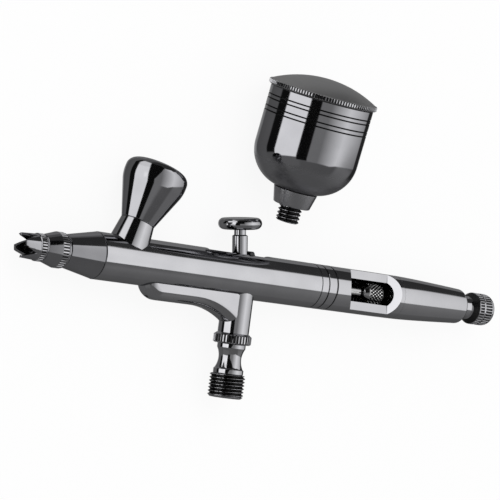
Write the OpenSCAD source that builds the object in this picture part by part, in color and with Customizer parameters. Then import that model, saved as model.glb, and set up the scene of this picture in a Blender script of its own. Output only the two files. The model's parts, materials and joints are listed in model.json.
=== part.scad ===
// Dual-action gravity-feed airbrush gun, lying on its side on a bench, with a spare lidded cup
// beside it. Gun coordinates: +X from nose to tail along the barrel, +Y from the valve up to the
// trigger, +Z up off the bench. The valve axis crosses the barrel axis at zero.

/* [Barrel] */
// Radius of the barrel and of the front of the handle
barrel_r = 6.2; // [6.1:0.05:6.4]
// Place of the seam between the head cone and the barrel
seam_x = -47.35; // [-48:0.05:-46.5]
// Place of the seam between the barrel and the handle
handle_x = 29.25; // [29:0.05:29.5]
// Radius of the hollow that holds the lever and the spring housing
cavity_r = 4.9; // [4.88:0.01:4.95]
// Half-width of the trigger slot
slot_half = 2.2; // [2.15:0.05:2.3]
// Rear end of the trigger slot
slot_back = 8.5; // [7.5:0.1:9]

/* [Head] */
// Place of the tips of the crown cap's teeth
crown_tip_x = -69.4; // [-69.8:0.1:-69]
// Place of the seam between the crown cap and the nozzle cap
crown_back_x = -63; // [-63.2:0.05:-62.8]
// Radius at the tips of the crown's teeth
crown_tip_r = 3.15; // [3.05:0.05:3.2]
// Depth of the V cuts between the crown's teeth
crown_cut = 3.3; // [3:0.1:3.6]
// Half-width of each V cut at the crown's tips
crown_half = 1.63; // [1.4:0.01:1.7]
// Turn of the crown's teeth about the barrel axis in degrees
crown_turn = -15; // [-45:1:45]
// Widest radius of the nozzle cap
nozzle_cap_r = 4.66; // [4.6:0.02:4.8]

/* [Valve] */
// Radius of the valve casing
casing_r = 4.25; // [4.2:0.05:4.4]
// Depth of the casing's lower end below the barrel axis
casing_low = 15.6; // [15.5:0.1:15.8]
// Radius of the knurled lock ring
lock_ring_r = 5.2; // [5:0.05:5.4]
// Outside radius of the 1/8 inch parallel pipe thread
inlet_r = 4.865; // [4.8:0.005:4.9]
// Depth of the inlet's lower end below the barrel axis
inlet_low = 33.1; // [32.9:0.1:33.5]
// Depth of the underside of the arm that carries air forward
arm_low = 9.5; // [9.4:0.05:9.6]

/* [Trigger] */
// Forward lean of the released trigger in degrees
trigger_lean = 8.5; // [7:0.5:10]
// Depth of the trigger's pivot below the barrel axis
pivot_low = 1.9; // [1.8:0.05:2]
// Radius of the finger pad
pad_r = 5.95; // [5.5:0.05:6.3]
// Radius of the trigger's stem
trigger_r = 2.1; // [1.9:0.02:2.12]
// Radius of the trigger's neck under the finger pad
neck_r = 1.6; // [1.5:0.02:1.7]

/* [Needle] */
// Radius of the needle's shaft
needle_r = 0.65; // [0.6:0.01:0.66]
// Place of the needle's tip
needle_tip_x = -68.2; // [-68.4:0.1:-68]
// Place of the needle's blunt end
needle_end_x = 62; // [60:0.5:63]
// Radius of the knurled chuck nut
chuck_nut_r = 3; // [2.8:0.05:3.1]

/* [Handle] */
// Place of the handle's rear end
handle_end_x = 80.2; // [79.8:0.1:80.4]
// Height of the cut-away window's floor above the handle's axis
window_floor = 2.65; // [2.5:0.05:2.8]
// Turn of the window about the handle's axis in degrees
window_turn = 10; // [0:1:15]
// Radius of the preset knob
knob_r = 4.65; // [4.5:0.05:4.75]
// Place of the preset knob's rear end
knob_end_x = 91.5; // [91:0.1:92]

/* [Funnel cup] */
// Place where the cup boss's axis crosses the barrel axis
boss_x = -38.5; // [-39:0.1:-38.2]
// Backward lean of the boss and its cup in degrees
boss_lean = 17.3; // [16:0.1:18]
// Radius of the boss
boss_r = 4.55; // [4.5:0.05:4.6]
// Height of the boss's rim along its own axis
boss_top = 10.5; // [10.3:0.1:10.7]
// Widest radius of the funnel cup
cup_r = 8.5; // [8.3:0.05:8.6]
// Height of the funnel cup above the boss
cup_h = 15.8; // [15.6:0.1:16]

/* [Spare cup] */
// Radius of the spare cup's bowl
bowl_r = 14.35; // [14.2:0.05:14.4]
// Depth of the bowl's floor below the lid's seat
bowl_h = 27.1; // [26.9:0.1:27.3]
// Radius of the rounding between the bowl's wall and its floor
bowl_round = 10.5; // [10.2:0.1:10.8]
// Radius of the lid's rim
lid_r = 15.1; // [15:0.05:15.3]
// Turn of the spare cup's axis away from the gun's upright in degrees
spare_turn = 1; // [0:0.5:4]
// Lift of the spare cup's lid end off the bench in degrees, as it rests on its shoulder
spare_tilt = 13; // [10:0.5:14]

/* [Hidden] */
$fn = 96;
wall = 0.8;
window_slope = 36;
elbow_r = 5.2;
elbow_x = -26.8;
arm_half = 3.7;
arm_round = 3;
sweep_r = 21.3;
sweep_x = -15.5;
pad_edge = 1.59;
lever_pivot = [4.6, -3.3];
lever_heel = [4.65, 1.25];
lever_tip = [1.69, 6.16];
lever_edge = 0.7;
lever_half = 1.9;
nose_end = crown_tip_x;
spare_x = 12.8;
spare_y = 51.5;
dome_h = 3.7;
dome_r = 30.6;
band_h = 0.7;
table_x = -(nose_end + knob_end_x) / 2;
table_y = -(spare_y + (band_h + dome_h - dome_r) * cos(spare_tilt) + dome_r - inlet_low) / 2;
table_z = cup_r;
spare_z = (bowl_h - bowl_round) * sin(spare_tilt) + (bowl_r - bowl_round) * cos(spare_tilt)
    + bowl_round - cup_r;

black = [0.13, 0.13, 0.14];
chrome = [0.62, 0.62, 0.64];
steel = [0.75, 0.75, 0.76];
brass = [0.72, 0.6, 0.35];
rubber = [0.06, 0.06, 0.06];
white = [0.92, 0.92, 0.9];

// The bench frame: origin on the bench under the middle of everything on it.
module on_table() translate([table_x, table_y, table_z]) children();

// Pieces turned about the barrel axis; each point is [radius, place along the barrel].
module turned(points) rotate([0, 90, 0]) rotate_extrude() polygon(points);

// A plain round bar or bore along the barrel axis.
module bar(r, x0, x1) translate([x0, 0, 0]) rotate([0, 90, 0]) cylinder(r = r, h = x1 - x0);

// Pieces turned about an axis down from the barrel; each point is [radius, depth].
module hanging(points) rotate([90, 0, 0]) rotate_extrude() polygon(points);
module shaft(r, d0, d1) translate([0, -d0, 0]) rotate([90, 0, 0]) cylinder(r = r, h = d1 - d0);

// Pieces turned about an axis up from the barrel; each point is [radius, height].
module standing(points) rotate([-90, 0, 0]) rotate_extrude() polygon(points);
module post(r, h0, h1) translate([0, h0, 0]) rotate([-90, 0, 0]) cylinder(r = r, h = h1 - h0);

// A round bore between two places in the gun's own plane.
module drill(a, b, r)
    translate([a.x, a.y, 0]) rotate([0, 0, atan2(b.y - a.y, b.x - a.x)])
        rotate([0, 90, 0]) cylinder(r = r, h = norm(b - a));

// A ring of round section about the barrel axis or about a hanging axis.
module oring_along(r, x, section) translate([x, 0, 0]) rotate([0, 90, 0])
    rotate_extrude() translate([r, 0]) circle(section, $fn = 32);
module oring_down(r, d, section) translate([0, -d, 0]) rotate([90, 0, 0])
    rotate_extrude() translate([r, 0]) circle(section, $fn = 32);

// Points along an arc about c, from angle a0 to angle a1.
function arc(c, r, a0, a1, n = 10) =
    [for (i = [0:n]) let (a = a0 + (a1 - a0) * i / n) [c.x + r * cos(a), c.y + r * sin(a)]];

// A coil spring about Z from 0 to length, with eight-sided wire.
module coil(r, wire, length, turns) {
    rings = turns * 12;
    rise = length - 2 * wire;
    points = [for (i = [0:rings], j = [0:7]) let (
        a = 360 * turns * i / rings,
        w = 45 * j,
        s = wire + rise * i / rings,
        q = r + wire * cos(w)
    ) [q * cos(a), q * sin(a), s + wire * sin(w)]];
    sides = [for (i = [0:rings - 1], j = [0:7]) let (k = (j + 1) % 8)
        [8 * i + j, 8 * (i + 1) + j, 8 * (i + 1) + k, 8 * i + k]];
    polyhedron(concat(points), concat(sides, [[for (j = [0:7]) j]],
        [[for (j = [7:-1:0]) 8 * rings + j]]));
}

module at_boss() translate([boss_x, 0, 0]) rotate([0, 0, -boss_lean]) children();
module at_cup() at_boss() translate([0, boss_top, 0]) children();
module at_trigger() translate([0, -pivot_low, 0]) rotate([0, 0, trigger_lean]) children();
module at_spare() translate([spare_x, spare_y, spare_z]) rotate([0, 0, -spare_turn])
    rotate([spare_tilt, 0, 0]) children();

// ---- head ----
module crown_cap() color(black) on_table() difference() {
    turned([[0, crown_tip_x], [crown_tip_r, crown_tip_x], [3.35, -65.6], [3.35, -65.2],
            [3.6, -65.05], [3.6, -63.3], [3.45, crown_back_x - 0.04], [0, crown_back_x - 0.04]]);
    turned([[0, crown_tip_x - 1], [2.55, crown_tip_x - 1], [2.45, -65.7], [0, -65.7]]);
    bar(2.43, -66, crown_back_x + 1);
    mouth = crown_half * (1 + 1 / crown_cut);
    for (a = [45, 135]) rotate([a + crown_turn, 0, 0]) translate([crown_tip_x, 0, 0])
        linear_extrude(20, center = true)
            polygon([[-1, -mouth], [crown_cut, 0], [-1, mouth]]);
}

module nozzle_cap() color(black) on_table() difference() {
    turned([[0, -66.2], [1.7, -66.2], [2.38, -65.5], [2.38, crown_back_x], [3.5, crown_back_x],
            [nozzle_cap_r, -59.4], [nozzle_cap_r, -57.5], [4.25, -56.7], [0, -56.7]]);
    bar(0.85, -67, -64);
    turned([[0.8, -65.3], [1.9, -64.3], [2, -60.8], [3.37, -60.8], [3.37, -56], [0, -56],
            [0, -65.3]]);
}

module nozzle() color(brass) on_table() difference() {
    turned([[0, -67], [0.42, -67], [1.5, -60.6], [2.25, -60.5], [2.25, -59.7], [1.6, -59.7],
            [1.6, -57], [0, -57]]);
    turned([[0, -67.5], [0.19, -67.5], [0.19, -67], [0.72, -59.1], [1.1, -58.6], [1.1, -56],
            [0, -56]]);
}

module nozzle_seal() color(white) on_table() difference() {
    bar(2.2, -59.68, -59.32);
    bar(1.65, -60, -59);
}

module head_cone() color(black) on_table() difference() {
    turned([[0, -59.3], [3.34, -59.3], [3.34, -56.65], [4.2, -56.65], [4.3, -56.5],
            [6.1, seam_x - 0.25], [6.0, seam_x - 0.03], [4.4, seam_x - 0.03], [4.4, -46.2],
            [3.5, -46.2], [3.5, -45.1], [4.4, -45.1], [4.4, -43.8], [0, -43.8]]);
    bar(1.62, -60, -56.8);
    bar(1.2, -57, -43);
    for (a = [0:60:300]) rotate([a, 0, 0]) translate([0, 2.75, 0]) bar(0.4, -60, -43);
}

module head_oring() color(rubber) on_table() oring_along(3.95, -45.65, 0.45);

// ---- barrel ----
module barrel() color(black) on_table() difference() {
    union() {
        turned([[0, seam_x], [6.1, seam_x], [barrel_r, seam_x + 0.15], [barrel_r, 23.65],
                [6.08, 23.8], [barrel_r, 23.95], [barrel_r, 26.05], [5.9, 26.3],
                [barrel_r, 26.55], [barrel_r, handle_x - 0.25], [5.95, handle_x], [0, handle_x]]);
        at_boss() standing([[0, 0], [boss_r + 0.7, 0], [boss_r + 0.7, 5.2], [boss_r + 0.3, 6.2],
                            [boss_r, 7.4], [boss_r, boss_top - 0.15], [boss_r - 0.15, boss_top],
                            [0, boss_top]]);
    }
    bar(4.43, seam_x - 1, -43.6);
    bar(1.2, -44, -21);
    bar(2.2, -22, -14);
    bar(cavity_r, -15, handle_x + 1);
    at_boss() post(1.6, 0, boss_top);
    at_boss() post(2.95, 5.6, boss_top + 1);
    translate([-12.9, 0, -slot_half]) cube([slot_back + 12.9, 10, 2 * slot_half]);
    shaft(2.6, 0, 8);
    translate([lever_pivot.x, lever_pivot.y, -4.7]) cylinder(r = 0.6, h = 9.4);
    drill([-29, -8], [-29, -3.9], 0.75);
    translate([0, -3.9, 0]) bar(0.8, -45, -28.1);
}

// Section across the arm: flat sides with fully rounded lower corners.
module arm_section(low) {
    flat = arm_half - 0.02;
    translate([-flat, arm_round - low]) square([2 * flat, low - arm_round]);
    translate([arm_round - arm_half, 0.02 - low]) square([2 * (arm_half - arm_round), low]);
    for (side = [-1, 1]) translate([side * (arm_half - arm_round), arm_round - low])
        circle(arm_round);
}

module valve_bracket() color(black) on_table() difference() {
    union() {
        translate([elbow_x, 0, 0]) rotate([0, 90, 0]) linear_extrude(sweep_x - elbow_x)
            arm_section(arm_low);
        translate([elbow_x, elbow_r - arm_low, 0]) rotate([0, 0, 180]) rotate_extrude(angle = 90)
            intersection() {
                translate([0, -arm_half]) square([elbow_r, 2 * arm_half]);
                rotate(90) arm_section(elbow_r);
            }
        intersection() {
            translate([sweep_x, -arm_low - sweep_r, 0]) rotate_extrude(angle = 90)
                translate([sweep_r + 7.5, 0]) rotate(-90) arm_section(7.5);
            translate([sweep_x - 1, -15, -10]) cube([-sweep_x - 0.2, 15, 20]);
        }
        shaft(casing_r, 3, casing_low);
    }
    bar(barrel_r, -40, 20);
    shaft(2.6, 5, 8);
    shaft(1.05, 7, 10);
    shaft(2, 9.2, 12);
    shaft(2.97, 11.6, casing_low + 1);
    drill([-1.5, -10.9], [-9.4, -8], 0.75);
    translate([0, -8, 0]) bar(0.9, -29.8, -8.4);
    drill([-29, -8], [-29, -3], 0.75);
}

module needle_packing() color(white) on_table() difference() {
    bar(2.18, -21.95, -19.6);
    bar(0.67, -23, -19);
}

module packing_screw() color(brass) on_table() difference() {
    bar(2.18, -19.55, -15.4);
    bar(0.75, -20, -15);
    translate([-16.4, -3, -0.35]) cube([2, 6, 0.7]);
}

// ---- funnel cup ----
module funnel_cup() color(black) on_table() at_cup() difference() {
    standing(concat([[0, -4.6], [2.9, -4.6], [2.9, -0.75], [2.45, -0.75], [2.45, 0.02],
                     [boss_r, 0.02], [7.9, 9.1]],
                    arc([cup_r - 9.6, 12.75], 9.6, -20.4, 0, 8),
                    arc([cup_r - 2.4, cup_h - 2.4], 2.4, 0, 90, 10),
                    [[0, cup_h]]));
    standing(concat([[0, -5], [1.6, -5], [1.6, -0.2], [boss_r - wall, 1.1], [7.9 - wall, 9.1]],
                    arc([cup_r - 9.6, 12.75], 9.6 - wall, -20.4, 0, 8),
                    arc([cup_r - 2.4, cup_h - 2.4], 2.4 - wall, 0, 70, 8),
                    [[cup_r - 2.4, cup_h + 1], [0, cup_h + 1]]));
}

module funnel_cup_oring() color(rubber) on_table() at_cup() translate([0, -0.38, 0])
    rotate([90, 0, 0]) rotate_extrude() translate([2.69, 0]) circle(0.21, $fn = 32);

// ---- valve ----
module plunger_packing() color(white) on_table() difference() {
    shaft(1.98, 9.22, 10.3);
    shaft(1.04, 9, 11);
}

module valve_lock_ring() color(black) on_table() hanging([[2.98, casing_low + 0.03],
    [lock_ring_r - 0.45, casing_low + 0.03], [lock_ring_r, casing_low + 0.4],
    [lock_ring_r, 18.45], [lock_ring_r - 0.45, 18.85], [2.98, 18.85]]);

module air_inlet() color(chrome) on_table() difference() {
    hanging(concat([[0, 11.65], [2.95, 11.65], [2.95, 18.9], [3.85, 18.9], [3.85, 19.6]],
        arc([8.7, 22.4], 5.6, 210, 150, 12),
        [[3.85, 25.2], [4.1, 25.4], [4.1, 26.5], [3.9, 26.75], [inlet_r, 26.8],
         [inlet_r, inlet_low - 0.5], [inlet_r - 0.5, inlet_low], [0, inlet_low]]));
    shaft(1.3, 11, 13);
    shaft(2.1, 12.6, 23);
    shaft(1.7, 22, inlet_low + 1);
}

module valve_pin() color(steel) on_table() hanging([[0, 11.02], [0.9, 11.02], [0.9, 13.08],
    [1.8, 13.08], [1.8, 13.6], [0.7, 14.1], [0.7, 16.5], [0, 16.5]]);

module valve_seal() color(rubber) on_table() difference() {
    shaft(1.75, 12.66, 13.06);
    shaft(0.93, 12, 14);
}

module valve_spring() color(steel) on_table() translate([0, -14.15, 0]) rotate([90, 0, 0])
    coil(1.45, 0.22, 5.7, 6);

module valve_plug() color(brass) on_table() difference() {
    shaft(2.08, 19.9, 22.6);
    shaft(0.8, 19, 23);
    translate([-3, -23, -0.3]) cube([6, 1, 0.6]);
}

// ---- trigger ----
module plunger() color(steel) on_table() difference() {
    union() {
        intersection() {
            translate([0, -pivot_low, -0.85]) cylinder(r = 0.98, h = 1.7);
            translate([-2, -5, -0.85]) cube([4, 5, 1.7]);
        }
        intersection() {
            shaft(0.98, pivot_low, 4);
            translate([-2, -5, -0.85]) cube([4, 5, 1.7]);
        }
        shaft(1, 3.6, 11);
    }
    translate([0, -pivot_low, -2]) cylinder(r = 0.54, h = 4);
}

module trigger_stem() color(chrome) on_table() at_trigger() difference() {
    union() {
        post(trigger_r, -0.95, 12.7);
        standing([[0, 12.7], [trigger_r, 12.7], [neck_r, 13], [neck_r, 16], [0, 16]]);
    }
    translate([-3, -2, -0.9]) cube([6, 7.9, 1.8]);
    translate([0, 0, -3]) cylinder(r = 0.5, h = 6);
}

module trigger_pin() color(steel) on_table() translate([0, -pivot_low, -1.7])
    cylinder(r = 0.5, h = 3.4);

module trigger_pad() color(black) on_table() at_trigger() difference() {
    standing(concat([[0, 14.45], [2.6, 14.45]],
                    arc([pad_r - pad_edge, 14.43 + pad_edge], pad_edge, -80, 90, 12),
                    [[0, 14.43 + 2 * pad_edge]]));
    post(neck_r, 14, 16);
    translate([0, 17.25 + 40, 0]) sphere(r = 40, $fn = 192);
}

// A flat link between two places, round at its far end.
module link(a, b) {
    translate([a.x, a.y, 0]) rotate([0, 0, atan2(b.y - a.y, b.x - a.x)])
        translate([0, 0.03 - lever_edge, -lever_half])
            cube([norm(b - a), 2 * lever_edge - 0.06, 2 * lever_half]);
    translate([b.x, b.y, -lever_half]) cylinder(r = lever_edge, h = 2 * lever_half);
}

module back_lever() color(steel) on_table() difference() {
    union() {
        translate([lever_pivot.x, lever_pivot.y, -lever_half])
            cylinder(r = 1.1, h = 2 * lever_half);
        link(lever_pivot, lever_heel);
        link(lever_heel, lever_tip);
    }
    translate([0, -0.9, -0.95]) cube([8, 2.7, 1.9]);
    translate([lever_pivot.x, lever_pivot.y, -5]) cylinder(r = 0.65, h = 10);
}

module lever_pin() color(steel) on_table() translate([lever_pivot.x, lever_pivot.y, -4.7])
    cylinder(r = 0.6, h = 9.4);

// ---- needle ----
module needle() color(steel) on_table() turned([[0, needle_tip_x], [0.05, needle_tip_x],
    [needle_r, -59.2], [needle_r, needle_end_x - 0.5], [needle_r - 0.3, needle_end_x],
    [0, needle_end_x]]);

module needle_tube() color(steel) on_table() difference() {
    turned([[0, 5.4], [2.5, 5.4], [2.8, 5.7], [2.8, 6.7], [1.9, 7], [1.7, 7], [1.7, 41.4],
            [1.15, 42.5], [1.1, 45.5], [0, 45.5]]);
    bar(0.69, 5, 47);
    translate([38, -0.15, -3]) cube([9, 0.3, 6]);
}

module chuck_nut() color(chrome) on_table() difference() {
    turned([[0, 42.6], [1.7, 42.6], [1.9, 42.8], [1.9, 44], [2.75, 44],
            [chuck_nut_r, 44.25], [chuck_nut_r, 48.6], [2.7, 48.9], [0, 48.9]]);
    bar(1.18, 42, 45.8);
    bar(0.7, 45, 50);
}

module needle_spring() color(steel) on_table() translate([7.05, 0, 0]) rotate([0, 90, 0])
    coil(2.25, 0.25, 22.4, 13);

module spring_housing() color(brass) on_table() turned([[2.9, 14], [3.3, 14], [3.5, 14.2],
    [3.5, 17], [4.88, 17], [4.88, 22], [3.5, 22], [3.5, 33], [2.9, 33]]);

module tension_screw() color(brass) on_table() difference() {
    turned([[0, 29.5], [2.87, 29.5], [2.87, 33.04], [3.4, 33.04], [3.4, 34.3], [3.1, 34.6],
            [0, 34.6]]);
    bar(1.76, 29, 36);
    translate([33.9, -4, -0.4]) cube([2, 8, 0.8]);
}

// ---- handle ----
module handle() color(black) on_table() difference() {
    turned(concat([[0, 23.6], [4.85, 23.6], [4.85, handle_x + 0.03], [5.95, handle_x + 0.03],
                   [barrel_r, handle_x + 0.3], [barrel_r, 48]],
                  arc([barrel_r - 350, 48], 350, 0, 1.6, 2),
                  [[5.9, 60.5], [5.5, 69.5], [5.1, 75]],
                  arc([3.3, handle_end_x - 1.5], 1.5, 40, 90, 6),
                  [[0, handle_end_x]]));
    bar(4.2, 23, 62);
    bar(2.06, 61, 74);
    bar(3.12, 73.6, handle_end_x + 1);
    rotate([-window_turn, 0, 0]) translate([0, 0, window_floor]) rotate([90, 0, 0])
        linear_extrude(20, center = true) polygon([[36.6, 0], [50.4, 0],
            [50.4 + 5 * tan(window_slope), 5], [36.6 - 5 * tan(window_slope), 5]]);
}

module preset_stem() color(steel) on_table() difference() {
    turned([[0, 54], [1.7, 54], [2, 54.3], [2, 83.5], [0, 83.5]]);
    bar(0.9, 53, 68);
}

module preset_knob() color(black) on_table() difference() {
    turned(concat([[0, 76], [3.07, 76], [3.07, 76.6], [2.3, 76.6], [2.3, 77.5], [3.07, 77.5],
                   [3.07, 82.6], [3.8, 82.9], [knob_r - 0.05, 85.1], [knob_r, 85.3],
                   [knob_r, 87], [knob_r - 0.35, 87.15], [knob_r - 0.35, 87.55],
                   [knob_r, 87.7], [knob_r, 89.9]],
                  arc([knob_r - 1.6, knob_end_x - 1.6], 1.6, 10, 90, 8),
                  [[0, knob_end_x]]));
    bar(2, 75, 83.5);
}

module preset_oring() color(rubber) on_table() oring_along(2.71, 77.05, 0.38);

// ---- spare cup ----
// A shallow V groove round the bowl at a given depth.
function bowl_groove(d) = [[bowl_r, d - 0.2], [bowl_r - 0.14, d], [bowl_r, d + 0.2]];

module spare_bowl() color(black) on_table() at_spare() difference() {
    hanging(concat([[0, 0.8], [bowl_r - 0.2, 0.8], [bowl_r, 1]],
                   bowl_groove(3.3), bowl_groove(4.4), bowl_groove(6.5), bowl_groove(7.7),
                   arc([bowl_r - bowl_round, bowl_h - bowl_round], bowl_round, 0, 90, 16),
                   [[0, bowl_h]]));
    hanging(concat([[0, 0], [bowl_r - wall, 0]],
                   arc([bowl_r - bowl_round, bowl_h - bowl_round], bowl_round - wall, 0, 90, 16),
                   [[0, bowl_h - wall]]));
    shaft(3, 20, 30);
}

module spare_stem() color(black) on_table() at_spare() difference() {
    hanging([[0, bowl_h - 1.3], [3.6, bowl_h - 1.3], [3.6, bowl_h - wall - 0.02],
             [2.98, bowl_h - wall - 0.02], [2.98, bowl_h + 0.03], [6.1, bowl_h + 0.03],
             [5.1, 31.3], [4.9, 31.4], [3.25, 31.4], [3.25, 35.7], [2.95, 36], [0, 36]]);
    shaft(1.6, 20, 40);
}

module spare_lid() color(black) on_table() at_spare() difference() {
    union() {
        hanging([[0, -band_h], [lid_r - 0.2, -band_h], [lid_r, -band_h + 0.2], [lid_r, 0.5],
                 [lid_r - 0.2, 0.7], [13.4, 0.75], [13.4, 1.8], [12.85, 1.8], [12.85, 2.6],
                 [13.4, 2.6], [13.4, 3.4], [0, 3.4]]);
        standing(concat(arc([0, band_h + dome_h - dome_r], dome_r, 62, 90, 10), [[0, 0]]));
    }
    hanging([[0, 0.2], [12.4, 0.2], [12.4, 5], [0, 5]]);
    standing(concat([[0, -1]], [[11, -1]],
                    arc([0, band_h + dome_h - dome_r], dome_r - wall, 68.4, 90, 8)));
}

module spare_lid_seal() color(rubber) on_table() at_spare() oring_down(13.2, 2.2, 0.33);

crown_cap();
nozzle_cap();
nozzle();
nozzle_seal();
head_cone();
head_oring();
barrel();
valve_bracket();
needle_packing();
packing_screw();
funnel_cup();
funnel_cup_oring();
plunger_packing();
valve_lock_ring();
air_inlet();
valve_pin();
valve_seal();
valve_spring();
valve_plug();
plunger();
trigger_stem();
trigger_pin();
trigger_pad();
back_lever();
lever_pin();
needle();
needle_tube();
chuck_nut();
needle_spring();
spring_housing();
tension_screw();
handle();
preset_stem();
preset_knob();
preset_oring();
spare_bowl();
spare_stem();
spare_lid();
spare_lid_seal();
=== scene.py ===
import json
import math

import bmesh
import bpy
import numpy as np
from mathutils import Matrix, Vector


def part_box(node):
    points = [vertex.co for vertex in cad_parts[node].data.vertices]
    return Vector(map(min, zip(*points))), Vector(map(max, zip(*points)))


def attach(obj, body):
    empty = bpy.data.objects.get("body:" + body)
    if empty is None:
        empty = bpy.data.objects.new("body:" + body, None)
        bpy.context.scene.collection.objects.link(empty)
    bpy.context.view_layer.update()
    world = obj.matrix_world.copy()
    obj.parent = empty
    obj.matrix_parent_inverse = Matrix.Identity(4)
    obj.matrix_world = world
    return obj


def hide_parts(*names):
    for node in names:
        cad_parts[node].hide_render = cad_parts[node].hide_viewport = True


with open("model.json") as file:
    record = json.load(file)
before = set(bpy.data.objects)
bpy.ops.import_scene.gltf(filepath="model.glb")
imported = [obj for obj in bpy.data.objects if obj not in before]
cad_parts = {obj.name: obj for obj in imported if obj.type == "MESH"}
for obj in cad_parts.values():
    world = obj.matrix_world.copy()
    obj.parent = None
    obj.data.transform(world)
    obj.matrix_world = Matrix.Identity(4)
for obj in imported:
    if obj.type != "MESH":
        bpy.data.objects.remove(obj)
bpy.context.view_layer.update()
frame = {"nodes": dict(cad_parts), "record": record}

MM = 0.001
mounts = {m["name"]: m for m in frame["record"]["mounts"]}

# ---- places, read from the frame ----
# Places along an axis are in mm: along the barrel from the valve's axis towards the tail, along
# the valve from the barrel's axis down, and along both cups from an origin of their own.
needle_low, needle_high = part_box("needle")
needle_middle = (needle_low + needle_high) / 2
inlet = Vector(mounts["air_inlet"]["pos_m"])
gun_origin = Vector((inlet.x, needle_middle.y, needle_middle.z))
spare_down = Vector(mounts["spare_cup_thread"]["axis"])
spare_thread = Vector(mounts["spare_cup_thread"]["pos_m"])
THREAD_DEPTH = 33.55  # from the spare cup's origin, at its lid, down to the thread's mount
spare_origin = spare_thread - spare_down * THREAD_DEPTH * MM
BOSS_X = -38.5
BOSS_TOP = 10.5
BOSS_R = 4.55
boss_lean = math.radians(17.3)
boss_up = Vector((math.sin(boss_lean), math.cos(boss_lean), 0))


def place(origin, along, side):
    """A frame for turned pieces: its X runs along the axis, its Y is where angles start."""
    along = along.normalized()
    side = (side - along * side.dot(along)).normalized()
    rows = Matrix((along, side, along.cross(side))).transposed().to_4x4()
    rows.translation = origin
    return rows


BARREL = place(gun_origin, Vector((1, 0, 0)), Vector((0, 1, 0)))
VALVE = place(gun_origin, Vector((0, -1, 0)), Vector((0, 0, 1)))
SPARE = place(spare_origin, spare_down, Vector((1, 0, 0)))
BOSS = place(gun_origin + Vector((BOSS_X, 0, 0)) * MM, boss_up, Vector((0, 0, 1)))


def barrel_span(node):
    """(front end, rear end, radius) in mm of a node turned about the barrel axis."""
    low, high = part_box(node)
    return (low.x - gun_origin.x) / MM, (high.x - gun_origin.x) / MM, (high.z - low.z) / 2 / MM


def valve_span(node):
    """(upper end, lower end, radius) in mm below the barrel axis of a node on the valve axis."""
    low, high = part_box(node)
    return (gun_origin.y - high.y) / MM, (gun_origin.y - low.y) / MM, (high.x - low.x) / 2 / MM


# ---- outlines ----
CORNER = 4  # points that eased() makes of each corner


def arc(centre, radius, start, end, steps):
    """Points (along, radius) on an arc; at angle 0 the arc is at its widest."""
    turns = [math.radians(start + (end - start) * i / steps) for i in range(steps + 1)]
    return [(centre[0] + radius * math.sin(a), centre[1] + radius * math.cos(a)) for a in turns]


def eased(outline, ease):
    """The closed outline with every corner rounded; a point's third number is kept."""
    most = 0.42  # share of the shorter side that a round may take
    points = [np.array((p + (0.0,))[:3], float) for p in outline]
    out = []
    for i, corner in enumerate(points):
        before, after = points[i - 1] - corner, points[(i + 1) % len(points)] - corner
        gaps = np.hypot(before[0], before[1]), np.hypot(after[0], after[1])
        cut = min(ease, most * min(gaps))
        a = corner + before / gaps[0] * cut
        b = corner + after / gaps[1] * cut
        for t in (k / (CORNER - 1) for k in range(CORNER)):
            p = (1 - t) ** 2 * a + 2 * t * (1 - t) * corner + t ** 2 * b
            out.append((p[0], p[1], corner[2]))
    return out


def smoothed(points, count):
    """A smooth curve of (along, radius) that passes through the given points."""
    along, radius = np.array(points, float).T
    lean = np.gradient(radius, along)
    out = []
    for x in np.linspace(along[0], along[-1], count):
        k = min(np.searchsorted(along, x, "right"), len(along) - 1) - 1
        gap = along[k + 1] - along[k]
        t = (x - along[k]) / gap
        y = ((2 * t ** 3 - 3 * t ** 2 + 1) * radius[k] + (t ** 3 - 2 * t ** 2 + t) * gap * lean[k]
             + (3 * t ** 2 - 2 * t ** 3) * radius[k + 1] + (t ** 3 - t ** 2) * gap * lean[k + 1])
        out.append((x, y))
    return out


def band(start, end, radius, count):
    """Evenly spaced rows of full relief weight for a threaded or diamond-knurled band."""
    return [(start + (end - start) * i / count, radius, 1.0) for i in range(count + 1)]


# ---- turned solids ----
PLAIN, CUT, LAND = 0, 1, 2  # the three materials of a turned piece; the cut one is painted shade
DARK_FROM = 0.4  # a face takes the painted shade of the cuts from this depth on
SHARP = math.radians(32)


def lathe(name, outline, where, turns, relief=None):
    """A solid turned from a closed outline of (along, radius, relief weight) in mm.

    A relief moves the points and says how deep each lies in a cut: 1 is the floor of the cut, and more
    than 1 widens the dark part, which is painted shade. Deep faces take the piece's second material,
    the painted shade of the cuts, and the lands between the cuts its third."""
    rows = np.array([(tuple(p) + (0.0,))[:3] for p in outline])
    angle = np.linspace(0, 2 * math.pi, turns, endpoint=False)[None, :]
    along, radius, weight = (np.repeat(rows[:, k:k + 1], turns, 1) for k in range(3))
    depth = np.zeros_like(along)
    if relief:
        along, radius, depth = relief(along, radius, weight, angle)
    deep = (depth + np.roll(depth, -1, 0)) / 2
    deep = (deep + np.roll(deep, -1, 1)) / 2 > DARK_FROM
    land = np.minimum(weight, np.roll(weight, -1, 0)) > 0.5
    kinds = np.where(deep, CUT, np.where(land, LAND, PLAIN))
    points = np.stack([along, radius * np.cos(angle), radius * np.sin(angle)], -1) * MM
    n = len(rows)
    faces = []
    slots = []
    for i in range(n):
        k = (i + 1) % n
        if max(rows[i, 1], rows[k, 1]) > 0:
            faces += [(i * turns + j, k * turns + j, k * turns + (j + 1) % turns,
                       i * turns + (j + 1) % turns) for j in range(turns)]
            slots += kinds[i].tolist()
    mesh = bpy.data.meshes.new(name)
    mesh.from_pydata([where @ Vector(p) for p in points.reshape(-1, 3)], [], faces)
    mesh.polygons.foreach_set("material_index", slots)
    piece = bpy.data.objects.new(name, mesh)
    bpy.context.scene.collection.objects.link(piece)
    close_mesh(mesh)
    return piece


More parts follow.
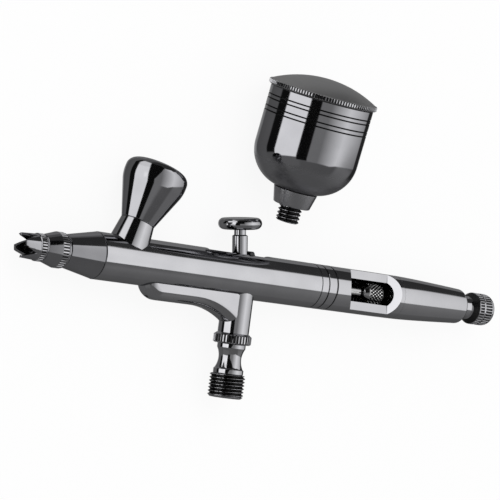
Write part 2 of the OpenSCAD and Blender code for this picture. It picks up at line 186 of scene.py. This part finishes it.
def close_mesh(mesh):
    """Merges what meets, turns the faces outwards and shades the rounds smooth."""
    work = bmesh.new()
    work.from_mesh(mesh)
    bmesh.ops.remove_doubles(work, verts=work.verts, dist=1e-7)
    bmesh.ops.recalc_face_normals(work, faces=work.faces)
    work.to_mesh(mesh)
    work.free()
    mesh.shade_smooth()
    mesh.set_sharp_from_angle(angle=SHARP)


# ---- reliefs: knurls and threads ----
STEPS_PER_TOOTH = 14


def straight_knurl(teeth, depth, land):
    """Flat-topped teeth along the axis; land is the share of the pitch left flat."""
    steep = 1.5

    def relief(along, radius, weight, angle):
        off = np.abs((angle * teeth / (2 * math.pi)) % 1 - 0.5) * 2
        cut = np.clip((off - land) / (1 - land) * steep, 0, 1)
        return along, radius - weight * depth * cut, weight * cut
    return relief


def diamond_knurl(teeth, depth, lead):
    """Two crossing sets of V grooves; lead is how far a groove runs in one tooth's width."""
    steep, start = 4, 1.6

    def relief(along, radius, weight, angle):
        turn = angle * teeth / (2 * math.pi)
        ways = [np.abs((turn + way * along / lead) % 1 - 0.5) * 2 for way in (1, -1)]
        cut = np.clip(np.maximum(*ways) * steep - start, 0, 1)
        return along, radius - weight * depth * cut, weight * cut
    return relief


def thread(pitch, depth):
    """A V thread, rounded a little at crest and root, cut into the weighted rows; its flanks take the
    painted shade of the cuts, spread wider by darkness.
    """
    steep, crest, darkness = 1.25, 0.12, 1.6

    def relief(along, radius, weight, angle):
        off = np.abs((along / pitch - angle / (2 * math.pi)) % 1 - 0.5) * 2
        cut = np.clip(off * steep - crest, 0, 1)
        return along, radius - weight * depth * cut, weight * cut * darkness
    return relief


# ---- pieces of the head ----
def crown_cap():
    """Cap with four teeth that V cuts leave at its front, and a knurled band at its back."""
    tip, back, rim = barrel_span("crown_cap")
    cut_length, cut_half, cut_turn, behind_cut = 3.3, 1.63, math.radians(-15), 0.5
    bore_front, bore_r = tip + 0.3, 2.7
    band_front = back - 2.0
    teeth = 30
    knurl = straight_knurl(teeth, 0.22, 0.42)

    def relief(along, radius, weight, angle):
        """The V cuts, the knurl, and the bore painted with the dark shade of the cuts."""
        bore = (radius < bore_r) & (along > bore_front)
        along, radius, depth = knurl(along, radius, weight, angle)
        off = (angle - cut_turn) % (math.pi / 2) - math.pi / 4
        notch = cut_length * np.clip(1 - np.abs(radius * np.sin(off)) / cut_half, 0, None)
        end = tip + cut_length + behind_cut
        share = np.clip((end - along) / (end - tip), 0, 1)
        return along + share * notch, radius, np.where(bore, 1.0, depth)

    outline = [(tip, 3.15), (tip + 0.6, 3.18), (tip + 2.2, 3.27), (band_front - 0.5, 3.35),
               (band_front - 0.12, 3.35), (band_front, rim - 0.1), (band_front + 0.12, rim, 1),
               (back - 0.5, rim, 1), (back - 0.38, rim - 0.2), (back - 0.3, rim - 0.2),
               (back - 0.22, rim - 0.02), (back, rim - 0.1), (back, 2.43), (-65.7, 2.45),
               (tip + 2.2, 2.5), (tip, 2.55)]
    return lathe("crown", eased(outline, 0.07), BARREL, teeth * STEPS_PER_TOOTH, relief)


def nozzle_cap():
    """Air cap: a nose that reaches into the crown, and a knurled band behind the shoulder."""
    front, back, rim = barrel_span("nozzle_cap")
    shoulder = -63.0
    teeth = 36
    outline = [(front, 1.7), (-65.5, 2.38), (shoulder, 2.38), (shoulder, 3.42),
               (shoulder + 0.12, 3.55), (back - 2.75, rim - 0.02), (back - 2.62, rim, 1),
               (back - 1.0, rim, 1), (back - 0.86, rim - 0.16), (back - 0.72, rim - 0.16),
               (back - 0.62, rim - 0.08), (back - 0.2, 4.42), (back, 4.25), (back, 3.37),
               (-60.8, 3.37), (-60.8, 2.0), (-64.3, 1.9), (-65.3, 0.85), (front, 0.85)]
    return lathe("nozzle_cap_turned", eased(outline, 0.06), BARREL, teeth * STEPS_PER_TOOTH,
                 straight_knurl(teeth, 0.24, 0.42))


# ---- pieces of the valve ----
def valve_lock_ring():
    """Knurled ring with both edges bevelled, a little shorter than its solid."""
    top, low, rim = valve_span("valve_lock_ring")
    low -= 0.35
    bore = 2.98
    teeth = 36
    outline = [(top, bore), (top, rim - 0.75), (top + 0.35, rim - 0.4), (top + 0.6, rim, 1),
               (low - 0.35, rim, 1), (low - 0.1, rim - 0.35), (low, rim - 0.5), (low, bore)]
    return lathe("lock_ring_knurled", eased(outline, 0.08), VALVE, teeth * STEPS_PER_TOOTH,
                 straight_knurl(teeth, 0.3, 0.3))


def air_inlet():
    """Fitting with a flange, a waist, a collar and the 1/8 inch pipe thread, bored through."""
    top, low, crest = valve_span("air_inlet")
    thread_top, pitch, depth = 26.8, 0.907, 0.56
    flange, waist_r = 3.85, 3.86
    waist = arc((22.4, 8.7), 5.6, 210, 150, 16)
    upper = eased([(top, 1.3), (top, 2.95), (18.56, 2.95), (18.56, flange), (19.55, waist_r)], 0.06)
    collar = eased([(25.25, waist_r), (25.4, 4.1), (26.5, 4.1), (26.72, 3.9), (26.74, 4.3)], 0.05)
    screw = band(thread_top, low - 0.55, crest, 98)
    tail = eased([(low - 0.5, crest - 0.1), (low, crest - 0.65), (low, 1.7), (22.0, 1.7),
                  (22.0, 2.1), (12.6, 2.1), (12.6, 1.3)], 0.06)
    outline = upper[CORNER:] + waist + collar[CORNER:] + screw + tail
    return lathe("inlet_threaded", outline, VALVE, 192, thread(pitch, depth))


# ---- pieces of the needle chucking and the preset knob ----
def chuck_nut():
    """Nut with a cone in front and a diamond knurl, bored for the needle and its tube."""
    front, back, rim = barrel_span("chuck_nut")
    head = front + 1.55
    tube, needle, tube_end = 1.18, 0.7, 45.8
    teeth, steps_per_tooth = 20, 24
    cone = eased([(front, tube), (front, 1.75), (front + 0.2, 2.0), (front + 1.3, 2.72),
                  (head - 0.02, 2.72)], 0.06)
    tail = eased([(back - 0.25, rim - 0.05), (back, rim - 0.32), (back, needle),
                  (tube_end, needle), (tube_end, tube)], 0.06)
    outline = cone + [(head, 2.75)] + band(head + 0.2, back - 0.3, rim, 60) + tail
    return lathe("chuck_nut_knurled", outline, BARREL, teeth * steps_per_tooth,
                 diamond_knurl(teeth, 0.3, 1.25))


def preset_knob():
    """Neck with a ring groove, a flank painted dark as shade and two knurled rims; bored for its stem.
    """
    front, back, rim = barrel_span("preset_knob")
    neck, stem, stem_end = 3.07, 2.02, 83.5
    flank_front, flank_back = 83.6, 84.97
    teeth = 33
    knurl = straight_knurl(teeth, 0.3, 0.25)
    outline = [(front, stem), (front, neck), (76.6, neck), (76.6, 2.3), (77.5, 2.3),
               (77.5, neck), (83.0, neck), (83.45, 3.3), (84.95, rim - 0.12),
               (85.2, rim - 0.02), (85.35, rim, 1), (86.95, rim, 1), (87.1, rim - 0.3),
               (87.6, rim - 0.3), (87.75, rim, 1), (89.75, rim, 1), (89.95, rim - 0.06)]
    outline += arc((back - 1.5, rim - 1.6), 1.5, 10, 82, 6)
    outline += [(back, 2.4), (back, 0), (stem_end, 0), (stem_end, stem)]

    def relief(along, radius, weight, angle):
        """The knurl, and the flank painted with the dark shade of the cuts."""
        flank = (along > flank_front) & (along < flank_back) & (radius > 3.0)
        along, radius, depth = knurl(along, radius, weight, angle)
        return along, radius, np.where(flank, 1.0, depth)

    return lathe("preset_knob_knurled", eased(outline, 0.07), BARREL, teeth * STEPS_PER_TOOTH,
                 relief)


# ---- surfaces laid over the barrel and the handle ----
SEAMS = (23.8, 26.3, barrel_span("barrel")[1])


def seam_shadow(name, along):
    """Painted shadow: the dark line of a fine groove round the barrel, laid over it as a thin ring."""
    full = barrel_span("handle")[2]
    half, proud, inset = 0.14, 0.012, 0.1
    outline = [(along - half, full - inset), (along - half, full + proud),
               (along + half, full + proud), (along + half, full - inset)]
    return lathe(name, outline, BARREL, 256)


def handle_tail():
    """The tapering outside of the handle behind its window, as one smooth curve."""
    full = barrel_span("handle")[2]
    start, proud, thickness = 54, 0.02, 0.4
    taper = [(48, full), (57.8, full - 0.137), (69.5, 5.55), (75, 5.25), (78.9, 5.03)]
    outside = [(s, r + proud) for s, r in smoothed(taper, 120) if s > start]
    inside = [(s, r - thickness) for s, r in reversed(outside[::8])]
    heel = arc((78.9, 3.87), 1.18, 6, 90, 10) + [(79.7, 3.8)]
    return lathe("handle_tail_turned", outside + heel + inside, BARREL, 256)


def boss_surface():
    """The tapered outside of the barrel's boss; its foot runs into the barrel."""
    foot, edge = 3.4, BOSS_TOP - 0.02
    outside = [(foot, BOSS_R + 0.97), (BOSS_TOP - 0.14, BOSS_R + 0.02), (edge, BOSS_R - 0.14)]
    inside = [(edge, BOSS_R - 0.5), (foot, BOSS_R - 0.5)]
    return lathe("barrel_boss_turned", outside + inside, BOSS, 256)


# ---- pieces of the cups ----
CUP_WALL = 0.8


def funnel_cup():
    """Open cup: a straight cone that runs into a large round and then into the lip."""
    belly, belly_r = (12.75, -1.1), 9.6
    lip, lip_r = (13.4, 6.1), 2.4
    tangent = -19.64
    foot = eased([(-0.2, 1.6), (-4.6, 1.6), (-4.6, 2.9), (-0.75, 2.9), (-0.75, 2.45), (0.03, 2.45),
                  (0.03, BOSS_R - 0.1), (0.16, BOSS_R + 0.03)], 0.05)
    outside = arc(belly, belly_r, tangent, 0, 32) + arc(lip, lip_r, 6, 90, 16)
    inside = arc(lip, lip_r - CUP_WALL, 60, 0, 10) + arc(belly, belly_r - CUP_WALL, 0, tangent, 24)
    outline = foot + outside + inside + [(1.1, BOSS_R - CUP_WALL)]
    raised = [(p[0] + BOSS_TOP,) + tuple(p[1:]) for p in outline]
    return lathe("funnel_cup_turned", raised, BOSS, 320)


def spare_bowl():
    """Wall with two pairs of fine V grooves, running into the round of the floor."""
    rim, floor, bore = 14.35, 27.1, 3.0
    top, half_groove, groove_depth = 0.8, 0.2, 0.17
    corner, corner_r = (16.6, 3.85), 10.5
    outline = [(top, rim - CUP_WALL), (top, rim - 0.2), (1.0, rim)]
    for groove_at in (3.3, 4.4, 6.5, 7.7):
        outline += [(groove_at - half_groove, rim), (groove_at, rim - groove_depth, 1.0),
                    (groove_at + half_groove, rim)]
    outline += arc(corner, corner_r, 0, 90, 40)
    outline += [(floor, bore), (floor - CUP_WALL, bore)]
    outline += arc(corner, corner_r - CUP_WALL, 90, 0, 24)

    def relief(along, radius, weight, angle):
        """Nothing is moved: the grooves are only painted with the dark shade of the cuts."""
        return along, radius, weight * 1.2

    return lathe("spare_bowl_turned", outline, SPARE, 360, relief)


def spare_lid():
    """Plug with a seal groove, a finely knurled rim and a shallow dome."""
    rim, plug, under = 15.1, 13.4, 0.2
    dome_r, crown, spread_deg, steps = 30.6, 4.4, 28, 14
    teeth, steps_per_tooth = 120, 8
    below = [(under, 0), (under, 12.4), (3.4, 12.4), (3.4, plug), (2.6, plug), (2.6, 12.85),
             (1.8, 12.85), (1.8, plug), (0.75, plug), (0.7, rim - 0.35), (0.45, rim, 1),
             (-0.42, rim, 1), (-0.62, rim - 0.16), (-0.7, rim - 0.45)]
    turns = [math.radians(spread_deg - spread_deg * i / steps) for i in range(steps + 1)]
    dome = [(dome_r - crown - dome_r * math.cos(a), dome_r * math.sin(a)) for a in turns]
    outline = [(under, 0.0)] + eased(below, 0.07)[CORNER - 1:] + dome
    return lathe("spare_lid_turned", outline, SPARE, teeth * steps_per_tooth,
                 straight_knurl(teeth, 0.25, 0.3))


def spare_stem():
    """Collar under the spare bowl and the thread that fits the gun's boss, bored through."""
    base, crest, bore = 27.13, 3.25, 1.6
    pitch, depth = 1.06, 0.55
    collar = eased([(base - 1.43, bore), (base - 1.43, 3.6), (26.28, 3.6), (26.28, 2.98),
                    (base, 2.98), (base, 6.1), (31.3, 5.1), (31.45, 4.8), (31.45, 3.0)], 0.08)
    tail = eased([(35.75, crest - 0.12), (36.0, crest - 0.4), (36.0, bore)], 0.06)
    outline = collar + band(31.6, 35.65, crest, 80) + tail
    return lathe("spare_stem_threaded", outline, SPARE, 160, thread(pitch, depth))


# ---- shader graphs ----
MIX_SHARE, MIX_A, MIX_B, MIX_COLOUR_A, MIX_COLOUR_B = 0, 2, 3, 6, 7


class Graph:
    """The nodes of a material or of the world, with a short call for each kind of step."""

    def __init__(self, owner):
        owner.use_nodes = True
        self.nodes, self.links = owner.node_tree.nodes, owner.node_tree.links

    def fill(self, socket, value):
        """Sets a number on the socket, or links another node's output to it."""
        if isinstance(value, (int, float)):
            socket.default_value = value
        else:
            self.links.new(value, socket)

    def maths(self, kind, *values):
        """The result of one Math step on numbers or other nodes' outputs."""
        step = self.nodes.new("ShaderNodeMath")
        step.operation = kind
        for socket, value in zip(step.inputs, values):
            self.fill(socket, value)
        return step.outputs[0]

    def blend(self, share, low, high):
        """low where the share is 0, high where it is 1."""
        mix = self.nodes.new("ShaderNodeMix")
        for socket, value in ((MIX_SHARE, share), (MIX_A, low), (MIX_B, high)):
            self.fill(mix.inputs[socket], value)
        return mix.outputs[0]

    def ramp(self, source, across, start=0.0, end=1.0, smooth=False):
        """A value that runs from start to end while the source crosses a range."""
        step = self.nodes.new("ShaderNodeMapRange")
        if smooth:
            step.interpolation_type = "SMOOTHSTEP"
        names = ("From Min", "From Max", "To Min", "To Max")
        for name, value in zip(names, (*across, start, end)):
            step.inputs[name].default_value = value
        self.links.new(source, step.inputs["Value"])
        return step.outputs["Result"]


# ---- finishes ----
NOISE_REACH = (0.3, 0.7)  # where most of a noise's values lie


def grain(graph, stretch, scale, detail):
    """Noise over the piece's own coordinates, stretched along its turning marks."""
    where = graph.nodes.new("ShaderNodeTexCoord")
    mapping = graph.nodes.new("ShaderNodeMapping")
    mapping.inputs["Scale"].default_value = stretch
    noise = graph.nodes.new("ShaderNodeTexNoise")
    noise.inputs["Scale"].default_value = scale
    noise.inputs["Detail"].default_value = detail
    graph.links.new(where.outputs["Object"], mapping.inputs["Vector"])
    graph.links.new(mapping.outputs["Vector"], noise.inputs["Vector"])
    return noise.outputs["Fac"]


def tinted(graph, noise, dark, light):
    """A colour between dark and light that follows the noise."""
    mix = graph.nodes.new("ShaderNodeMix")
    mix.data_type = "RGBA"
    mix.inputs[MIX_COLOUR_A].default_value = (*dark, 1)
    mix.inputs[MIX_COLOUR_B].default_value = (*light, 1)
    graph.links.new(graph.ramp(noise, NOISE_REACH), mix.inputs[MIX_SHARE])
    return mix.outputs[2]


def bumped(graph, noise, strength, distance):
    """Normals that follow the noise as fine relief."""
    bump = graph.nodes.new("ShaderNodeBump")
    bump.inputs["Strength"].default_value = strength
    bump.inputs["Distance"].default_value = distance
    graph.links.new(noise, bump.inputs["Height"])
    return bump.outputs["Normal"]


def satin_foot(graph, polish):
    """The polish of the spare bowl's wall gives way to a satin finish round its floor."""
    satin, start, end = 0.36, 18.5, 20.8
    where = graph.nodes.new("ShaderNodeTexCoord")
    along = graph.nodes.new("ShaderNodeVectorMath")
    along.operation = "DOT_PRODUCT"
    along.inputs[1].default_value = spare_down
    graph.links.new(where.outputs["Object"], along.inputs[0])
    origin = spare_origin.dot(spare_down)
    reach = (origin + start * MM, origin + end * MM)
    share = graph.ramp(along.outputs["Value"], reach, smooth=True)
    return graph.blend(share, polish, satin)


def metal(name, dark, light, rough, marks, mark_strength, foot=False):
    """Turned and polished metal: tint, gloss and turning marks all vary a little."""
    mark_depth = 0.00002
    material = bpy.data.materials.new(name)
    graph = Graph(material)
    shader = graph.nodes["Principled BSDF"]
    shader.inputs["Metallic"].default_value = 1.0
    shader.inputs["Specular Tint"].default_value = (0.6, 0.6, 0.6, 1)
    cloud = grain(graph, (1, 1, 1), 140, 4)
    fine = grain(graph, marks, 1, 2)
    gloss = graph.ramp(cloud, NOISE_REACH, *rough)
    if foot:
        gloss = satin_foot(graph, gloss)
    graph.links.new(tinted(graph, cloud, dark, light), shader.inputs["Base Color"])
    graph.links.new(gloss, shader.inputs["Roughness"])
    graph.links.new(bumped(graph, fine, mark_strength, mark_depth), shader.inputs["Normal"])
    return material


def soft(name, dark, light, rough, scale):
    """PTFE or rubber: no metal, a faint grain and a soft gloss."""
    bump_strength, bump_depth = 0.15, 0.00003
    material = bpy.data.materials.new(name)
    graph = Graph(material)
    shader = graph.nodes["Principled BSDF"]
    cloud = grain(graph, (1, 1, 1), scale, 5)
    graph.links.new(tinted(graph, cloud, dark, light), shader.inputs["Base Color"])
    graph.links.new(graph.ramp(cloud, NOISE_REACH, *rough), shader.inputs["Roughness"])
    graph.links.new(bumped(graph, cloud, bump_strength, bump_depth), shader.inputs["Normal"])
    return material


# Each metal: its darker and lighter tint, its range of roughness, the way its marks run and
# how strong they are.
ALONG_X = (9000, 40, 40)
ALONG_Y = (40, 9000, 40)
NICKEL = ((0.365, 0.365, 0.38), (0.4, 0.4, 0.415))
DEEP_NICKEL = ((0.29, 0.29, 0.305), (0.33, 0.33, 0.345))
nickel = metal("black_nickel_polished", *NICKEL, (0.05, 0.08), ALONG_X, 0.05)
nickel_valve = metal("black_nickel_valve", *NICKEL, (0.06, 0.09), ALONG_Y, 0.06)
nickel_head = metal("black_nickel_head", *DEEP_NICKEL, (0.06, 0.1), ALONG_X, 0.05)
nickel_cup = metal("black_nickel_cup", *DEEP_NICKEL, (0.05, 0.08), ALONG_Y, 0.05)
nickel_bowl = metal("black_nickel_bowl", *DEEP_NICKEL, (0.05, 0.08), ALONG_Y, 0.05, foot=True)
nickel_collar = metal("black_nickel_collar", *NICKEL, (0.26, 0.32), ALONG_Y, 0.1)
# Painted glints: near-white nickel laid on the lands of the chuck nut's diamond knurl.
painted_glint_nickel = metal("painted_glint_nickel", (0.85, 0.85, 0.85), (0.92, 0.92, 0.92), (0.08, 0.14), ALONG_X,
                      0.1)
nickel_satin = metal("black_nickel_satin", (0.43, 0.43, 0.435), (0.48, 0.48, 0.485), (0.36, 0.44),
                     ALONG_Y, 0.3)
# Painted shade: near-black metal laid in the cuts of knurls and threads, the bowl's grooves, the
# crown's bore, the knob's flank, the seam lines and on the back lever.
groove = metal("painted_shade_near_black", (0.03, 0.03, 0.03), (0.06, 0.06, 0.062), (0.25, 0.4),
               ALONG_Y, 0.2)
steel = metal("steel_ground", (0.66, 0.66, 0.66), (0.76, 0.76, 0.75), (0.16, 0.26), ALONG_X, 0.3)
# Painted shade: a darker copy of the ground steel, for the needle tube and the chuck nut that lie in
# the shade inside the handle's window.
steel_dark = metal("steel_painted_shade", (0.32, 0.32, 0.325), (0.37, 0.37, 0.375), (0.1, 0.16), ALONG_X,
                   0.15)
brass = metal("brass_machined", (0.6, 0.46, 0.2), (0.72, 0.57, 0.28), (0.18, 0.3), ALONG_X, 0.3)
ptfe = soft("ptfe", (0.8, 0.8, 0.78), (0.88, 0.88, 0.86), (0.4, 0.55), 900)
rubber = soft("rubber", (0.012, 0.012, 0.012), (0.025, 0.025, 0.025), (0.5, 0.7), 1500)

FINISHES = {"black_nickel": nickel, "bright_chrome": nickel_valve, "steel": steel, "brass": brass,
            "ptfe": ptfe, "rubber": rubber}
# The back lever takes the near-black painted shade of the cuts, which also hides its wide tip; the
# needle tube takes the darker steel painted for the shade inside the handle's window.
OWN_FINISH = {"head_cone": nickel_head, "valve_bracket": nickel_valve, "back_lever": groove,
              "needle_tube": steel_dark}


def finish_nodes():
    """Every CAD node that stays shown takes the finish of its own slot, or its own finish."""
    for name, node in frame["nodes"].items():
        for socket in node.material_slots:
            slot = socket.material.name.split(".")[0]
            socket.material = OWN_FINISH.get(name, FINISHES[slot])


def dress(piece, node, body, material, land=None):
    """A detailed piece stands for its CAD node, on the same body."""
    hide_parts(node)
    add_to_body(piece, body, material, land)


def add_to_body(piece, body, material, land=None):
    """The finishes are those of the plain surface, of the cuts, where shade is painted, and of the
    lands between.
    """
    for finish in (material, groove, land or material):
        piece.data.materials.append(finish)
    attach(piece, body)


# ---- studio ----
ABOVE, BELOW = 1, -1


class Studio(Graph):
    """The light that polished metal mirrors, painted by direction.

    Turn is the angle round the upright Y from +Z towards +X, rise the angle above it."""

    def __init__(self, world, level):
        super().__init__(world)
        where = self.nodes.new("ShaderNodeTexCoord")
        split = self.nodes.new("ShaderNodeSeparateXYZ")
        self.links.new(where.outputs["Generated"], split.inputs["Vector"])
        x, y, z = (split.outputs[k] for k in "XYZ")
        self.turn = self.maths("DEGREES", self.maths("ARCTAN2", x, z))
        self.rise = self.maths("DEGREES", self.maths("ARCSINE", y))
        self.level = level

    def edge(self, value, limit, soft_by, lit):
        """1 on the lit side of a limit and 0 on the other, with a soft step between."""
        past = self.maths("SUBTRACT", value, limit)
        return self.ramp(past, (-soft_by * lit, soft_by * lit), smooth=True)

    def panel(self, turn, rise, level, soft_by):
        """A soft-edged patch of light, or a flag where its level is low.

        A limit or a level is a number, or a ramp where it changes across the patch."""
        edges = [self.edge(self.turn, turn[0], soft_by, ABOVE),
                 self.edge(self.turn, turn[1], soft_by, BELOW),
                 self.edge(self.rise, rise[0], soft_by, ABOVE),
                 self.edge(self.rise, rise[1], soft_by, BELOW)]
        mask = edges[0]
        for other in edges[1:]:
            mask = self.maths("MULTIPLY", mask, other)
        self.level = self.blend(mask, self.level, level)


def paint_studio(world):
    """Two soft boxes in a grey room, with dark flags beside them and a dark ceiling.

    The camera stands at turn -37, rise -1. Later panels cover earlier ones."""
    studio = Studio(world, 0.2)
    panel, ramp, turn, rise = studio.panel, studio.ramp, studio.turn, studio.rise
    box_foot_left = ramp(turn, (20, 38), -24, -18)
    box_foot_right = ramp(turn, (40, 99), -18, -5)
    flag_edge = ramp(rise, (-4, 40), -36, 4)

    # the room: light spilled under the main box, the two far walls, and the ceiling
    panel((40, 96), (-72, -10), ramp(rise, (-62, -20), 0.2, 0.36), 6)
    panel((-200, -136), (-40, 80), 0.225, 6)
    panel((112, 200), (-12, 62), 0.42, 6)
    panel((150, 176), (-14, 8), 0.75, 5)
    panel((-70, 116), (44, 95), 0.062, 4)

    # the soft box off the nose, with a flag beyond it, a dim foot and a brighter core
    panel((-136, -112), (-8, 62), 0.012, 2.0)
    panel((-118, -52), (-42, -14), 0.26, 5)
    panel((-112, -60), (28, 62), 1.65, 6)
    panel((-112, -60), (-15, 32), 1.9, 1.5)
    panel((-76, -63), (1, 14), 2.2, 4)

    # the main soft box along the gun, in two halves that fade away from their joint
    panel((-36, 37), (box_foot_left, 44), ramp(turn, (-12, 36), 0.38, 1.6), 1.5)
    panel((35, 99), (box_foot_right, 44), ramp(turn, (36, 96), 1.6, 0.82), 1.5)

    # what cuts the main box: the ceiling's edge, a flag off the tail and one by the camera
    panel((47, 116), (38.5, 62), 0.062, 2)
    panel((99, 127), (-20, 26), 0.056, 2.5)
    panel((-60, flag_edge), (-22, 62), 0.008, 1.5)
    return studio


def seen_directly(graph):
    """(direct, mirrored): 1 for rays straight from the camera or through glass, 1 for mirrored."""
    path = graph.nodes.new("ShaderNodeLightPath")
    direct = graph.maths("MAXIMUM", path.outputs["Is Camera Ray"], path.outputs["Is Transmission Ray"])
    return direct, path.outputs["Is Glossy Ray"]


def make_world():
    """White to the eye, an even light for shading, and the studio for reflections."""
    even_light, white = 0.85, 1.0
    world = bpy.data.worlds.new("studio")
    bpy.context.scene.world = world
    studio = paint_studio(world)
    direct, glossy = seen_directly(studio)
    level = studio.blend(glossy, even_light, studio.level)
    level = studio.blend(direct, level, white)
    background = studio.nodes["Background"]
    studio.links.new(level, background.inputs["Strength"])
    background.inputs["Color"].default_value = (1, 1, 1, 1)


def floor_material():
    """A matt pale floor that the camera sees mostly as white, with the object's shadow on it."""
    whiteness = 0.9
    material = bpy.data.materials.new("floor_white")
    graph = Graph(material)
    shader = graph.nodes["Principled BSDF"]
    shader.inputs["Base Color"].default_value = (0.9, 0.9, 0.9, 1)
    shader.inputs["Roughness"].default_value = 0.9
    shader.inputs["Specular IOR Level"].default_value = 0.0
    white = graph.nodes.new("ShaderNodeEmission")
    mix = graph.nodes.new("ShaderNodeMixShader")
    direct, _ = seen_directly(graph)
    graph.links.new(graph.maths("MULTIPLY", direct, whiteness), mix.inputs[0])
    graph.links.new(shader.outputs[0], mix.inputs[1])
    graph.links.new(white.outputs[0], mix.inputs[2])
    graph.links.new(mix.outputs[0], graph.nodes["Material Output"].inputs["Surface"])
    return material


def make_floor():
    """The bench at Z = 0, wide enough to have no edge in view and kept out of reflections."""
    half = 3.0
    corners = [(-half, -half, 0), (half, -half, 0), (half, half, 0), (-half, half, 0)]
    mesh = bpy.data.meshes.new("floor")
    mesh.from_pydata(corners, [], [(0, 1, 2, 3)])
    mesh.materials.append(floor_material())
    floor = bpy.data.objects.new("floor", mesh)
    bpy.context.scene.collection.objects.link(floor)
    floor.visible_glossy = False


def make_lamp():
    """One large soft lamp above the bench, for the shadow."""
    lamp = bpy.data.lights.new("soft_lamp", "AREA")
    lamp.shape = "SQUARE"
    lamp.size = 0.7
    lamp.energy = 2.2
    holder = bpy.data.objects.new("soft_lamp", lamp)
    bpy.context.scene.collection.objects.link(holder)
    holder.location = (-0.25, 0.45, 0.85)
    holder.rotation_euler = (-holder.location).to_track_quat("-Z", "Y").to_euler()
    holder.visible_camera = False
    holder.visible_glossy = False


def make_camera():
    """At the photograph's angle: in front of the nose, looking down and back along the gun."""
    right = Vector((0.78989, 0.12805, 0.59973))
    ahead = Vector((0.60158, 0.02810, -0.79832))
    up = right.cross(ahead)
    stand = Vector((-341.6, -8.8, 456.08)) * MM
    camera = bpy.data.cameras.new("camera")
    camera.lens = 152.136
    camera.sensor_width = 36
    camera.clip_start = 0.02
    camera.clip_end = 20
    holder = bpy.data.objects.new("camera", camera)
    bpy.context.scene.collection.objects.link(holder)
    view = Matrix((right, up, -ahead)).transposed().to_4x4()
    view.translation = gun_origin + stand
    holder.matrix_world = view
    bpy.context.scene.camera = holder


make_camera()
make_world()
make_floor()
make_lamp()
finish_nodes()
dress(crown_cap(), "crown_cap", "gun", nickel_head, land=nickel)
dress(nozzle_cap(), "nozzle_cap", "gun", nickel_head, land=nickel)
add_to_body(boss_surface(), "gun", nickel_valve)
add_to_body(handle_tail(), "gun", nickel)
# painted shadows along the seams' fine grooves
for number, seam_place in enumerate(SEAMS, 1):
    add_to_body(seam_shadow(f"seam_shadow_{number}", seam_place), "gun", groove)
dress(funnel_cup(), "funnel_cup", "funnel_cup", nickel_cup)
dress(valve_lock_ring(), "valve_lock_ring", "gun", nickel_valve)
dress(air_inlet(), "air_inlet", "gun", nickel_valve)
# The chuck nut: darker steel painted as shade, with painted shade in its cuts and painted glints on
# its lands.
dress(chuck_nut(), "chuck_nut", "chuck_nut", steel_dark, land=painted_glint_nickel)
dress(preset_knob(), "preset_knob", "preset_knob", nickel)
dress(spare_bowl(), "spare_bowl", "spare_cup", nickel_bowl)
dress(spare_lid(), "spare_lid", "spare_lid", nickel_satin, land=nickel)
dress(spare_stem(), "spare_stem", "spare_cup", nickel_collar, land=nickel_valve)

bpy.context.scene.view_settings.view_transform = "Standard"
